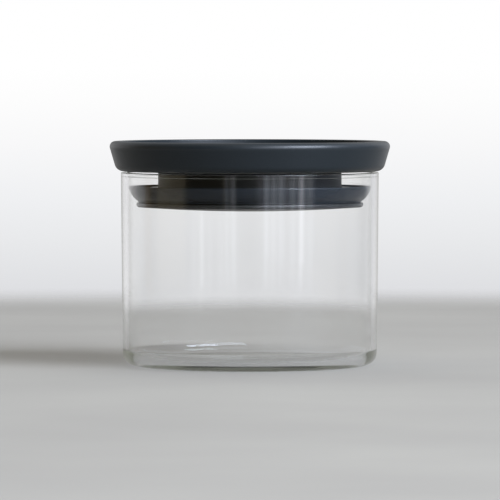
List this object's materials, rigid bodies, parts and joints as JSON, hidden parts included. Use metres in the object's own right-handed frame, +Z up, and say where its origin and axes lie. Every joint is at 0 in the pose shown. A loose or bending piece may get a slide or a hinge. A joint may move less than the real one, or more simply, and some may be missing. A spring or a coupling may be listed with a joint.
{
  "type": "stackable glass jar",
  "caption": "Short clear glass storage jar with a charcoal plug lid and a soft lip seal; a recess in the lid holds the foot of the next jar, so jars stack.",
  "frame": {"origin": "on the jar's axis, in the plane of its standing ring", "axes": "+Z up along the jar's axis, from the base to the lid; X and Y are any two square directions across it"},
  "size_m": [0.1, 0.1, 0.08],
  "materials": {
    "jar_glass": "clear, fire polished",
    "lid_plastic": "fine matt moulded, charcoal",
    "plug_plastic": "matt moulded, charcoal",
    "seal_silicone": "smooth matt silicone, charcoal"
  },
  "bodies": {
    "jar": {"glass_jar": "jar_glass"},
    "lid": {"lid_cap": "lid_plastic", "plug_core": "plug_plastic", "seal_ring": "seal_silicone"}
  },
  "joints": [
    {"name": "lid_lift", "type": "slide", "parent": "jar", "child": "lid", "axis": [0, 0, 1], "range_m": [0, 0.05]}
  ]
}
